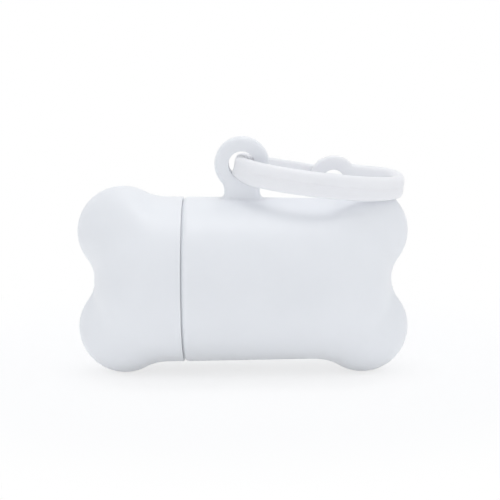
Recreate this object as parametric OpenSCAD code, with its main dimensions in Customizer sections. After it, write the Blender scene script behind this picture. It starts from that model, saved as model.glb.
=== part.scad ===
// Bone-shaped dispenser for a roll of waste bags, with a plastic snap ring.
// X runs along the bone with the cap at -X, Y away from the front, Z up. The origin is on the
// surface that the bone lies on, under the middle of the bone.

/* [Bone] */
// Length over the lobes
bone_length = 84.8; // [80:0.2:96]
// Height over the lobes
bone_height = 48.4; // [47:0.2:56]
// Radius of the lobes seen from the front
lobe_r = 11.7; // [11:0.1:12.6]
// How far the end's valley lies inside the lobes
valley_depth = 4.2; // [3:0.1:5]
// Radius of the hollow curve from the barrel up to a lobe
shoulder_r = 10.5; // [7:0.5:13]
// Diameter of the barrel at the seam
barrel_d = 42.4; // [42:0.1:44]
// Taper of the main barrel from the seam to its lobes, in degrees a side
barrel_draft = 0.9; // [0.2:0.1:1.4]
// Fullness of the rounded ends seen from above, 2 is an ellipse
end_fullness = 2.3; // [2:0.1:3]
// How narrow the lobes are seen from the end: 4 is broad, 7 is ball-like
lobe_focus = 6; // [5:0.2:7]
// Wall at the closed ends
wall = 2.2; // [1.6:0.1:2.6]

/* [Seam and neck] */
// Distance of the seam from the middle, towards the cap
seam_offset = 15; // [10:0.5:17]
// Open gap between the two rims
seam_gap = 0.35; // [0.2:0.05:0.6]
// Radius of the main shell's rounded rim
rim_r = 0.8; // [0.4:0.1:1]
// Length of the neck that enters the cap
neck_length = 9; // [6:0.5:10]
// Wall of the cap around the neck
cap_skirt = 1.6; // [1.2:0.1:1.8]
// Wall of the neck
neck_wall = 1.3; // [1:0.1:1.6]
// Radial clearance between the neck and the cap
neck_clearance = 0.1; // [0.05:0.01:0.2]

/* [Bag slot] */
// Length of the slot in the back
slot_length = 28; // [20:1:30]
// Width of the slot
slot_width = 5; // [4.6:0.1:7]
// Middle of the slot along the bone
slot_x = 2.5; // [0:0.5:4]

/* [Bag roll] */
// Diameter of the full roll
roll_d = 31; // [26:0.5:31.5]
// Length of the roll
roll_length = 54.6; // [50:0.2:55]
// Outer diameter of the paper core
core_d = 13; // [10:0.5:16]
// Wall of the paper core
core_wall = 1.2; // [0.8:0.1:2]
// Clearance under the roll where it lies
roll_clearance = 0.4; // [0.2:0.05:0.6]

/* [Lug] */
// Outer radius of the lug
lug_r = 7; // [6.4:0.1:7.6]
// Radius of the lug's hole
lug_hole_r = 3.4; // [3.3:0.05:3.8]
// Thickness of the lug
lug_thickness = 4.2; // [3.6:0.1:4.6]
// Height of the hole above the bone's axis
lug_height = 29.9; // [29:0.1:32]
// Width of the lug's narrow foot
lug_foot = 9.1; // [8:0.1:10]
// Radius that rounds the lug's edges
lug_edge = 1.2; // [0.6:0.1:1.6]

/* [Snap ring] */
// Length of the ring from the middle of its bar to the far end
ring_length = 41.8; // [41:0.1:43]
// Bow of the front side, from the ring's middle line to its outer face
front_bow = 12.7; // [12.4:0.1:13.2]
// Bow of the back side
back_bow = 12.2; // [12:0.1:12.8]
// Thickness of the band
band_thickness = 3; // [2.6:0.1:3.2]
// Height of the band above the middle of the bar
band_above = 2.05; // [1.8:0.05:2.4]
// Depth of the band below the middle of the bar
band_below = 4.4; // [4:0.1:4.5]
// Radius that rounds the band's edges
band_edge = 1.2; // [0.8:0.1:1.3]
// Gap between the ring and the lobe that it lies on
rest_gap = 0.15; // [0.1:0.05:0.6]
// Sideways lean of the ring, back side up
ring_lean = 1.5; // [0:0.1:2.5]
// Width of the cross bar in the lug's hole
bar_width = 3.6; // [3:0.1:3.8]
// Gap on each side between the lug and the ring
lug_gap = 0.25; // [0.2:0.05:0.5]

/* [Latch] */
// Distance of the eyelet from the bar
eyelet_x = 24.1; // [23:0.1:25]
// Outer radius of the eyelet
eyelet_r = 6.3; // [5.8:0.1:6.5]
// Radius of the eyelet's hole
eyelet_hole_r = 2.8; // [2.4:0.1:2.9]
// Depth of the eyelet's middle below the middle of the bar
eyelet_drop = 3.2; // [2.8:0.1:3.3]
// Thickness of the eyelet
eyelet_thickness = 2.6; // [2:0.1:3]
// Thickness of the springy arm at its tip
arm_thickness = 1.8; // [1.4:0.1:2.2]
// Height of the arm at its tip
arm_height = 2.4; // [2:0.1:2.4]
// Gap between the arm and the eyelet
arm_gap = 0.2; // [0.15:0.05:0.4]
// Radius of the stud on the arm
stud_r = 1.2; // [1:0.1:1.5]
// Length of the stud
stud_length = 1.7; // [1.2:0.1:2.2]
// Turning gap at the arm's root
root_gap = 0.15; // [0.1:0.05:0.3]

/* [Hidden] */
$fn = 64;

// Steps round the bone, along its end's curve, and round small edges
turns = 48;
valley_steps = 4;
lobe_steps = 16;
shoulder_steps = 4;
edge_steps = 3;
// Steps along the lug's outline: half its head, the hollow below it, and the flare at its foot
head_steps = 12;
hollow_steps = 5;
flare_steps = 4;
// Steps along the ring's band, its short head behind the lug, and the arm
band_steps = 46;
stub_steps = 6;
arm_steps = 18;
// How far cuts run past a face, and how far solids of one piece run into each other
past = 1;

axis_z = bone_height / 2;
barrel_r = barrel_d / 2;
rim_x = -seam_offset + seam_gap / 2;
cap_rim = seam_offset + seam_gap / 2;
lobe_x = bone_length / 2 - lobe_r;
lobe_z = bone_height / 2 - lobe_r;
pole_x = bone_length / 2 - valley_depth;

// Valley arc: centred on the axis outside the pole, touching the lobe's circle
valley_in = pole_x - lobe_x;
valley_r = (valley_in * valley_in + lobe_z * lobe_z - lobe_r * lobe_r) / (2 * (lobe_r - valley_in));
valley_cx = pole_x + valley_r;
valley_turn = atan2(lobe_z, valley_cx - lobe_x);
// The main barrel is straight from the seam to here, where its shoulders begin
barrel_stop = lobe_x - shoulder_run(barrel_r);
barrel_end = barrel_r - tan(barrel_draft) * (barrel_stop - rim_x);

cap_bore = barrel_r - cap_skirt;
neck_outer = cap_bore - neck_clearance;
bore_r = neck_outer - neck_wall;
neck_end = rim_x - neck_length;
// Space between the neck's end and the cap, and how much narrower the space in an end is than the
// bore before it
neck_end_gap = 0.3;
cavity_step = 0.15;
roll_drop = bore_r - roll_d / 2 - roll_clearance;
glue_gap = 0.05;

lug_half = lug_thickness / 2;
lug_z = axis_z + lug_height;
// The lug's sides: hollow curves under its head, then the flare at its foot, which ends at this
// turn and lies this deep in the barrel
hollow_r = 3;
flare_r = 2;
flare_end = 265;
foot_sink = 0.65;

ring_half = (ring_length - band_thickness / 2) / 2;
ring_start = lug_half + lug_gap;
front_reach = front_bow - band_thickness / 2;
back_reach = back_bow - band_thickness / 2;
// How much narrower a lobe's top is across the bone than along it
lobe_narrowing = 1.12;
// How much fuller the front side is at its far half, as a share
front_skew = 0.03;
// The front side's thicker end at the lug: how much it gains in thickness and stands out to the
// left, and the turn over which that fades
knob_gain = 1;
knob_out = 0.5;
knob_turn = 30;
// How much higher the band's lower edge is at the far end, and how closely that keeps to the end.
// The band's back side: where it begins to slim down, over which turn, how far, and where it ends
far_lift = 0.7;
far_focus = 12;
slim_start = 215;
slim_turn = 40;
slim_by = 0.5;
band_stop = 272;
// Rounding of the band's open ends
end_ease = 0.7;
// The cross bar: rounding of its corners, its depth below its middle, and how far its top lies
// under the band's
bar_corner = 1.2;
bar_below = 2.8;
bar_sink = 0.1;
// The eyelet: rounding of its edges, the rim kept round its hole, and how far it hangs below the band
eyelet_edge = 0.7;
eyelet_rim = 0.9;
eyelet_hang = 0.2;
// The stub behind the lug: how far its end lies past the bar and from the lug
stub_out = 0.1;
stub_length = 3.85;
// Root of the arm, where the stub ends
root_u = bar_width / 2 + stub_out;
root_v = ring_start + stub_length;
root_r = band_thickness / 2;
stub_gain = 0.6;
stub_turn = 35;
// The arm: rounding of its edges, its length past the stud, and how much thinner than the band its
// root is
arm_edge = 0.6;
arm_past = 1.2;
arm_neck = 0.2;
arm_v = back_reach + eyelet_thickness / 2 + arm_gap + arm_thickness / 2;
arm_tip = eyelet_x + stud_r + arm_past;
// Height of the arm's upper edge over the middle of the bar at its root, and further on
arm_rise = 1.5;
arm_level = -0.3;
// Shares of the arm's length: over which it curves out, thins down and falls to that level, and
// where its narrow tip begins and has its full narrowness
arm_curve = 0.6;
arm_slim = 0.6;
arm_fall = 0.8;
tip_start = 0.7;
tip_run = 0.09;
// The ring sinks from level until it meets the lobe at the first of these turns
ring_droop = min([for (turn = [60 : 4 : 180]) rest_droop(turn)]);

function mix(a, b, k) = a * (1 - k) + b * k;
function ease(k) = k <= 0 ? 0 : k >= 1 ? 1 : k * k * (3 - 2 * k);

// Height from a lobe's centre to the centre of the shoulder's hollow curve, and the run between them
function shoulder_rise(r_barrel) = r_barrel + shoulder_r - lobe_z;
function shoulder_run(r_barrel) = sqrt(pow(lobe_r + shoulder_r, 2) - pow(shoulder_rise(r_barrel), 2));
function lobe_top(r_barrel) = atan2(shoulder_rise(r_barrel), -shoulder_run(r_barrel));

// Half-plane points [x, r] of the bone's end through the lobes, from the pole to the barrel
function lobe_line(r_barrel, inset) =
    let (
        run = shoulder_run(r_barrel),
        top_turn = lobe_top(r_barrel),
        valley = [for (i = [0 : valley_steps])
            let (a = valley_turn * i / valley_steps)
            [valley_cx - (valley_r + inset) * cos(a), (valley_r + inset) * sin(a)]],
        lobe = [for (i = [1 : lobe_steps])
            let (a = mix(-valley_turn, top_turn, i / lobe_steps))
            [lobe_x + (lobe_r - inset) * cos(a), lobe_z + (lobe_r - inset) * sin(a)]],
        shoulder = [for (i = [1 : shoulder_steps])
            let (a = mix(top_turn - 180, -90, i / shoulder_steps))
            [lobe_x - run + (shoulder_r + inset) * cos(a),
            r_barrel + shoulder_r + (shoulder_r + inset) * sin(a)]]
    )
    concat(valley, lobe, shoulder);

// How far along the end's curve each of those points lies, from 0 to 1
function end_share(r_barrel) =
    let (
        v = valley_r * valley_turn,
        l = lobe_r * (valley_turn + lobe_top(r_barrel)),
        s = shoulder_r * (lobe_top(r_barrel) - 90),
        all = v + l + s
    )
    concat(
        [for (i = [0 : valley_steps]) v * i / valley_steps / all],
        [for (i = [1 : lobe_steps]) (v + l * i / lobe_steps) / all],
        [for (i = [1 : shoulder_steps]) (v + l + s * i / shoulder_steps) / all]
    );

// The same end seen from above: a rounded dome from the pole to the barrel
function side_line(r_barrel, inset) =
    let (start = lobe_x - shoulder_run(r_barrel))
    [for (k = end_share(r_barrel))
        [start + (pole_x - inset - start) * pow(max(cos(90 * k), 0), 2 / end_fullness),
        (r_barrel - inset) * pow(sin(90 * k), 2 / end_fullness)]];

// Points of one turned ring of the bone: blends the side view into the lobes towards +Z and -Z
function bone_ring(lobe, side, r_most) =
    [for (j = [0 : turns - 1])
        let (
            a = 360 * j / turns,
            w = pow(abs(sin(a)), lobe_focus),
            p = mix(side, lobe, w),
            r = min(p[1], r_most)
        )
        [p[0], r * cos(a), r * sin(a)]];

// One closed end of the bone, from a flat face at x = start to the pole. The barrel tapers from
// r_start to r_barrel, and edge rounds the flat face's rim.
module bone_end(start, r_start, r_barrel, inset, edge, r_most) {
    lobe = lobe_line(r_barrel, inset);
    side = side_line(r_barrel, inset);
    count = len(lobe);
    rim = [for (i = [0 : edge_steps])
        let (a = 90 * i / edge_steps)
        [start + edge * (1 - sin(a)), r_start - edge * (1 - cos(a))]];
    rings = concat(
        [for (i = [1 : count - 1]) bone_ring(lobe[i], side[i], r_most)],
        [for (i = [0 : edge > 0 ? edge_steps : 0]) bone_ring(rim[i], rim[i], r_most)]
    );
    last = len(rings) - 1;
    points = concat([[lobe[0][0], 0, 0]], [for (ring = rings) each ring]);
    faces = concat(
        [for (j = [0 : turns - 1]) [0, 1 + (j + 1) % turns, 1 + j]],
        [for (i = [0 : last - 1], j = [0 : turns - 1], half = [0, 1])
            let (
                a = 1 + i * turns + j,
                b = 1 + i * turns + (j + 1) % turns,
                c = a + turns,
                d = b + turns
            )
            half == 0 ? [a, d, c] : [a, b, d]],
        [[for (j = [0 : turns - 1]) 1 + last * turns + j]]
    );
    polyhedron(points, faces, convexity = 4);
}

// Cylinder along +X
module rod_x(r, from, to) {
    translate([from, 0, 0])
        rotate([0, 90, 0])
            cylinder(r = r, h = to - from);
}

// Space inside one end: the shell's form moved in by the wall, no wider than the bore before it
module end_cavity(start, r_barrel, r_most) {
    bone_end(start, min(r_most, r_barrel - wall), r_barrel, wall, 0, r_most);
}

// Right half of the lug's outline as [x, z, normal x, normal z], from the top to inside the barrel
function lug_side() =
    let (
        out = lug_foot / 2 + hollow_r,
        down = sqrt(pow(lug_r + hollow_r, 2) - out * out),
        turn = atan2(down, out),
        foot = lug_foot / 2 + flare_r,
        base = barrel_r - lug_height - foot_sink
    )
    concat(
        [for (i = [0 : head_steps])
            let (a = mix(90, -turn, i / head_steps))
            [lug_r * cos(a), lug_r * sin(a), cos(a), sin(a)]],
        [for (i = [1 : hollow_steps])
            let (a = mix(180 - turn, 180, i / hollow_steps))
            [out + hollow_r * cos(a), -down + hollow_r * sin(a), -cos(a), -sin(a)]],
        [for (i = [0 : flare_steps])
            let (a = mix(180, flare_end, i / flare_steps))
            [foot + flare_r * cos(a), base + flare_r + flare_r * sin(a), -cos(a), -sin(a)]],
        [[foot, base - lug_edge - foot_sink, 1, 0]]
    );

// Faces of one flat side of the lug: a fan round the hole's centre down to the waist, and strips
// across the foot below it
function lug_flat(first, centre, count, waist) =
    concat(
        [for (j = [0 : waist - 1]) [centre, first + j, first + j + 1]],
        [[centre, first + waist, first + count - waist]],
        [for (j = [count - waist : count - 1]) [centre, first + j, first + (j + 1) % count]],
        [for (j = [waist : (count - 1) / 2 - 1])
            each [
                [first + j, first + j + 1, first + count - j - 1],
                [first + j, first + count - j - 1, first + count - j]
            ]]
    );

// Lug as a flat plate with rounded edges: its outline is pulled in towards both flat sides
module lug() {
    side = lug_side();
    outline = concat(
        side,
        [for (i = [len(side) - 1 : -1 : 1]) [-side[i][0], side[i][1], -side[i][2], side[i][3]]]
    );
    count = len(outline);
    round = [for (i = [0 : edge_steps]) let (a = 90 * i / edge_steps) lug_edge * [1 - cos(a), 1 - sin(a)]];
    layers = concat(
        [for (i = [0 : edge_steps]) [-lug_half + round[i][0], round[i][1]]],
        [for (i = [edge_steps : -1 : 0]) [lug_half - round[i][0], round[i][1]]]
    );
    last = len(layers) - 1;
    waist = head_steps + hollow_steps;
    centre = count * len(layers);
    points = concat(
        [for (l = layers, p = outline) [p[0] - l[1] * p[2], l[0], p[1] - l[1] * p[3]]],
        [[0, -lug_half, 0], [0, lug_half, 0]]
    );
    faces = concat(
        lug_flat(0, centre, count, waist),
        [for (i = [0 : last - 1], j = [0 : count - 1], half = [0, 1])
            let (
                a = i * count + j,
                b = i * count + (j + 1) % count,
                c = a + count,
                d = b + count
            )
            half == 0 ? [a, c, d] : [a, d, b]],
        [for (f = lug_flat(last * count, centre + 1, count, waist)) [f[0], f[2], f[1]]]
    );
    polyhedron(points, faces, convexity = 4);
}

module bag_slot() {
    straight = slot_length - slot_width;
    translate([slot_x, 0, 0])
        rotate([-90, 0, 0])
            for (side = [-1, 1])
                translate([side * straight / 2, 0, 0])
                    cylinder(d = slot_width, h = barrel_r + past);
    translate([slot_x - straight / 2, 0, -slot_width / 2])
        cube([straight, barrel_r + past, slot_width]);
}

module main_shell() {
    color("whitesmoke")
        translate([0, 0, axis_z])
            difference() {
                union() {
                    bone_end(rim_x, barrel_r, barrel_end, 0, rim_r, barrel_r + bone_height);
                    rod_x(neck_outer, neck_end, rim_x + rim_r + past);
                    translate([0, 0, lug_height])
                        lug();
                }
                rod_x(bore_r, neck_end - past, barrel_stop);
                end_cavity(barrel_stop - past, barrel_end, bore_r - cavity_step);
                bag_slot();
                translate([0, 0, lug_height])
                    rotate([90, 0, 0])
                        cylinder(r = lug_hole_r, h = lug_thickness + 2 * past, center = true);
            }
}

module cap_shell() {
    color("white")
        translate([0, 0, axis_z])
            mirror([1, 0, 0])
                difference() {
                    bone_end(cap_rim, barrel_r, barrel_r, 0, 0, barrel_r + bone_height);
                    rod_x(cap_bore, cap_rim - past, -neck_end + neck_end_gap);
                    end_cavity(-neck_end, barrel_r, cap_bore - cavity_step);
                }
}

// Rounded cross-section of the band: [across, up] points round a box with rounded corners
function band_section(thickness, top, bottom, edge) =
    [for (c = [[1, 1, 0], [-1, 1, 90], [-1, -1, 180], [1, -1, 270]], i = [0 : edge_steps])
        let (a = c[2] + 90 * i / edge_steps)
        [c[0] * (thickness / 2 - edge) + edge * cos(a),
        (c[1] > 0 ? top - edge : bottom + edge) + edge * sin(a)]];

// Sweeps that section along stations of [u, v, outward angle, thickness, top, bottom, edge], which
// run anticlockwise seen from above
module band(stations) {
    sections = [for (s = stations)
        [for (p = band_section(s[3], s[4], s[5], s[6]))
            [s[0] + p[0] * cos(s[2]), s[1] + p[0] * sin(s[2]), p[1]]]];
    count = len(sections[0]);
    last = len(sections) - 1;
    points = [for (s = sections) each s];
    faces = concat(
        [[for (j = [count - 1 : -1 : 0]) j]],
        [for (i = [0 : last - 1], j = [0 : count - 1], half = [0, 1])
            let (
                a = i * count + j,
                b = i * count + (j + 1) % count,
                c = a + count,
                d = b + count
            )
            half == 0 ? [a, b, d] : [a, d, c]],
        [[for (j = [0 : count - 1]) last * count + j]]
    );
    polyhedron(points, faces, convexity = 6);
}

// Middle line of the ring seen from above: an oval from the bar (turn 0) past the front, the far
// end (180) and the back, to the bar again (360)
function oval(turn) = [
    ring_half * (1 - cos(turn)),
    turn < 180 ? -front_reach * sin(turn) * (1 - front_skew * cos(turn)) : -back_reach * sin(turn)
];
function oval_normal(turn) =
    let (d = oval(turn + 0.5) - oval(turn - 0.5))
    atan2(-d[0], d[1]);

// Height of the band's lower edge at one turn
function band_bottom(turn) = -band_below + far_lift * pow(sin(turn / 2), far_focus);

// Droop from level at which the band's rounded lower inner edge comes to rest on the lobe at one
// turn. The lobe counts as a ball, and a turn that misses it gives a right angle.
function rest_droop(turn) =
    let (
        normal = oval_normal(turn),
        p = oval(turn) - (band_thickness / 2 - band_edge) * [cos(normal), sin(normal)],
        w = band_bottom(turn) + band_edge + p[1] * sin(ring_lean),
        room = pow(lobe_r + band_edge + rest_gap, 2) - pow(p[1] * lobe_narrowing, 2),
        reach = norm([p[0], w]),
        drop = lug_height - lobe_z,
        away = norm([lobe_x, drop]),
        near = (reach * reach + away * away - room) / (2 * reach * away)
    )
    room < 0 || near > 1 ? 90 : atan2(drop, lobe_x) + atan2(w, p[0]) - acos(near);

module to_ring() {
    translate([0, 0, lug_z])
        rotate([ring_lean, 0, 0])
            rotate([0, ring_droop, 0])
                children();
}

module snap_ring() {
    first = asin(ring_start / front_reach);
    front = [for (i = [0 : band_steps])
        let (
            turn = mix(first, band_stop, i / band_steps),
            p = oval(turn),
            knob = 1 - ease((turn - first) / knob_turn),
            facing = mix(oval_normal(turn), -180, knob),
            end = i == 0 ? end_ease : 0,
            slim = slim_by * ease((turn - slim_start) / slim_turn)
        )
        [p[0] - knob_out * knob, p[1], facing, band_thickness + knob_gain * knob - slim - end,
            band_above - end / 2 - slim,
            band_bottom(turn) + end / 2 + slim, band_edge]];
    stub = [for (i = [stub_steps : -1 : 0])
        let (
            k = i / stub_steps,
            u = mix(0, root_u, k * k),
            v = mix(ring_start, root_v, k),
            end = i == 0 ? end_ease : 0
        )
        [u, v, 180 - stub_turn * k, band_thickness + stub_gain - end, band_above - end / 2,
            -band_below + end / 2, band_edge]];
    color("ghostwhite")
        to_ring()
            difference() {
                union() {
                    band(front);
                    band(stub);
                    bar();
                    translate([eyelet_x, back_reach, -eyelet_drop])
                        eyelet();
                }
                translate([eyelet_x, back_reach, -eyelet_drop])
                    rotate([90, 0, 0])
                        cylinder(r = eyelet_hole_r, h = band_thickness + 2 * past, center = true);
                translate([root_u, root_v, -band_below - past])
                    cylinder(r = root_r + root_gap, h = band_below + band_above + 2 * past);
            }
}

// Cross bar through the lug's hole
module bar() {
    half = bar_width / 2;
    high = band_above - bar_sink;
    rotate([90, 0, 0])
        linear_extrude(2 * (ring_start + past), center = true)
            union() {
                translate([-half + bar_corner, -bar_below])
                    square([bar_width - 2 * bar_corner, bar_below + high]);
                translate([-half, -bar_below + bar_corner])
                    square([bar_width, bar_below + high - 2 * bar_corner]);
                for (x = [-1, 1], z = [-bar_below + bar_corner, high - bar_corner])
                    translate([x * (half - bar_corner), z])
                        circle(bar_corner);
            }
}

// Flat eyelet with rounded edges: round above, and cut off below the band but for a rim round the hole
module eyelet() {
    floor_z = eyelet_drop - band_below + slim_by - eyelet_hang;
    intersection() {
        rotate([90, 0, 0])
            rotate_extrude()
                eyelet_profile(eyelet_r, eyelet_edge);
        union() {
            translate([-eyelet_r - past, -eyelet_thickness, floor_z])
                cube([2 * (eyelet_r + past), 2 * eyelet_thickness, 2 * eyelet_r]);
            rotate([90, 0, 0])
                cylinder(r = eyelet_hole_r + eyelet_rim, h = 2 * eyelet_thickness, center = true);
        }
    }
}

module eyelet_profile(r, edge) {
    half = eyelet_thickness / 2;
    translate([0, -half])
        square([r - edge, eyelet_thickness]);
    translate([0, -half + edge])
        square([r, eyelet_thickness - 2 * edge]);
    for (y = [-half + edge, half - edge])
        translate([r - edge, y])
            circle(edge);
}

// Thin arm behind the lug: springs outwards to free its stud from the eyelet
module latch_arm() {
    low = -eyelet_drop - arm_height / 2;
    high = -eyelet_drop + arm_height / 2;
    stations = [for (i = [arm_steps : -1 : 0])
        let (
            k = i / arm_steps,
            u = mix(root_u, arm_tip, k),
            left = 1 - min(k / arm_curve, 1),
            v = mix(arm_v, root_v, left * left),
            slope = atan2((arm_v - root_v) * 2 * left / arm_curve, arm_tip - root_u),
            slim = ease(k / arm_slim),
            fall = pow(1 - min(k / arm_fall, 1), 2),
            tip = ease((k - tip_start) / tip_run),
            end = i == arm_steps ? end_ease : 0
        )
        [u, v, slope + 90, mix(band_thickness - arm_neck, arm_thickness, slim) - end / 2,
            mix(mix(arm_level, arm_rise, fall), high, tip) - end / 2,
            mix(-band_below, low, slim) + end / 2, arm_edge]];
    color("white")
        to_ring() {
            band(stations);
            translate([root_u, root_v, -band_below])
                cylinder(r = root_r, h = band_below + arm_rise);
            translate([eyelet_x, arm_v, -eyelet_drop])
                rotate([90, 0, 0])
                    cylinder(r = stud_r, h = arm_thickness / 2 + arm_gap + stud_length);
        }
}

// Tube along X that lies at the roll's place
module roll_tube(r_out, r_in) {
    translate([0, 0, axis_z - roll_drop])
        difference() {
            rod_x(r_out, -roll_length / 2, roll_length / 2);
            rod_x(r_in, -roll_length / 2 - past, roll_length / 2 + past);
        }
}

module bag_roll() {
    color("gainsboro")
        roll_tube(roll_d / 2, core_d / 2);
}

module roll_core() {
    color("tan")
        roll_tube(core_d / 2 - glue_gap, core_d / 2 - core_wall);
}

main_shell();
cap_shell();
snap_ring();
latch_arm();
bag_roll();
roll_core();
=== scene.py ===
"""Bone-shaped dispenser for waste bags: shapes, finishes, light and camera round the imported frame.

All sizes are in millimetres unless a name says otherwise. X runs along the bone with the cap at -X,
Y points away from the front and Z up.
"""

import logging
import math
from collections.abc import Callable, Collection, Sequence
from dataclasses import dataclass, field
from enum import Enum
from typing import NamedTuple

import bmesh
import bpy
import numpy as np
from mathutils import Matrix, Vector

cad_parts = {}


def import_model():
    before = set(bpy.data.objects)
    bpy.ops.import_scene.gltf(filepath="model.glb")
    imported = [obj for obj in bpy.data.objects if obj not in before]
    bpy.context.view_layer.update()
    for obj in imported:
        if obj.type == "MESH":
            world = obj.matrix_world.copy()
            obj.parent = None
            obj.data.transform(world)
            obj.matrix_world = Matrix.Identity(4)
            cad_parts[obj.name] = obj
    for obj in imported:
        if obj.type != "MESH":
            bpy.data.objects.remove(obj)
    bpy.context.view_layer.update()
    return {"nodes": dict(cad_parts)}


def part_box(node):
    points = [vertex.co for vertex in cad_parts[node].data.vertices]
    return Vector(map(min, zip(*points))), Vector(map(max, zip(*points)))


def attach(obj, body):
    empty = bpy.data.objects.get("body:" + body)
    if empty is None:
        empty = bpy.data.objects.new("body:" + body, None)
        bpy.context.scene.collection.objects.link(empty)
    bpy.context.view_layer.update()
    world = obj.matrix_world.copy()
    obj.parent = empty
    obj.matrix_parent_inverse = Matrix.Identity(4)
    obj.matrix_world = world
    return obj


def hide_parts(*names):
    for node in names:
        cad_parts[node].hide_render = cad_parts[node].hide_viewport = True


LOG = logging.getLogger("dispenser")
MM = 0.001
SHARP_EDGE = math.radians(38)
WHITE = (1.0, 1.0, 1.0, 1.0)
NONE = range(0)


class Body(Enum):
    """The bodies of the frame that pieces ride on."""

    SHELL = "shell"
    CAP = "cap"
    RING = "ring"
    LATCH = "latch"
    ROLL = "roll"


class Slot(Enum):
    """The record's material slots."""

    SHELL = "shell_plastic"
    RING = "ring_plastic"
    FILM = "bag_film"
    PAPER = "core_paper"


def linear(colour: str) -> tuple[float, float, float, float]:
    """Turn an sRGB colour into linear RGBA.

    Args:
        colour: six hex digits.

    Returns:
        Red, green, blue and an alpha of 1.
    """
    shares = [int(colour[i : i + 2], 16) / 255 for i in (0, 2, 4)]
    red, green, blue = (s / 12.92 if s <= 0.04045 else ((s + 0.055) / 1.055) ** 2.4 for s in shares)
    return red, green, blue, 1.0


def scaled(colour: str, red: float, green: float, blue: float) -> tuple[float, ...]:
    """Linear RGBA of an sRGB hex colour, with its red, green and blue scaled."""
    return tuple(c * share for c, share in zip(linear(colour), (red, green, blue, 1)))


def ease(share: np.ndarray | float) -> np.ndarray | float:
    """Smooth step from 0 to 1, flat below 0 and above 1."""
    k = np.clip(share, 0, 1)
    return k * k * (3 - 2 * k)


def mix(low: np.ndarray | float, high: np.ndarray | float, share: np.ndarray | float) -> np.ndarray | float:
    """Blend two values by the second one's share."""
    return low * (1 - share) + high * share


def rounded(steps: int) -> list[tuple[float, float]]:
    """Quarter of a unit circle, for rounding an edge.

    Args:
        steps: how many points it has.

    Returns:
        From (1, 0) to (0, 1): how far each point has still to go to the end face, and how far it has
        come in from the side.
    """
    return [(1 - math.sin(a), 1 - math.cos(a)) for a in np.linspace(0, math.pi / 2, steps)]


def add_node(
    tree: bpy.types.NodeTree, kind: str, settings: dict | None = None, **links: object
) -> bpy.types.Node:
    """Add one node with its settings and links.

    Args:
        tree: the node tree of a material or world.
        kind: the node's type name without the ShaderNode prefix.
        settings: attributes of the node, or input values by the input's name or number.
        links: output sockets for inputs, by the input's name with _ for each space, or in0, in1 ...

    Returns:
        The new node.
    """
    node = tree.nodes.new("ShaderNode" + kind)
    for name, value in (settings or {}).items():
        if isinstance(name, int) or name in node.inputs:
            node.inputs[name].default_value = value
        else:
            setattr(node, name, value)
    for name, socket in links.items():
        target = int(name[2:]) if name[:2] == "in" and name[2:].isdigit() else name.replace("_", " ")
        tree.links.new(socket, node.inputs[target])
    return node


def direct_rays(tree: bpy.types.NodeTree) -> bpy.types.NodeSocket:
    """Tell camera, glossy and transmission rays from the rest.

    Args:
        tree: the node tree of a material or world.

    Returns:
        A value that is 1 for these rays and 0 for others.
    """
    path = add_node(tree, "LightPath").outputs
    shiny = add_node(
        tree, "Math", {"operation": "MAXIMUM"}, in0=path["Is Glossy Ray"], in1=path["Is Transmission Ray"]
    )
    both = add_node(tree, "Math", {"operation": "MAXIMUM"}, in0=path["Is Camera Ray"], in1=shiny.outputs[0])
    return both.outputs[0]


def new_material(name: str) -> tuple[bpy.types.Material, bpy.types.NodeTree, bpy.types.NodeSocket]:
    """Start a material.

    Args:
        name: the material's name.

    Returns:
        The material, its empty node tree and the place on the object.
    """
    material = bpy.data.materials.new(name)
    material.use_nodes = True
    tree = material.node_tree
    tree.nodes.clear()
    return material, tree, add_node(tree, "TexCoord").outputs["Object"]


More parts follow.
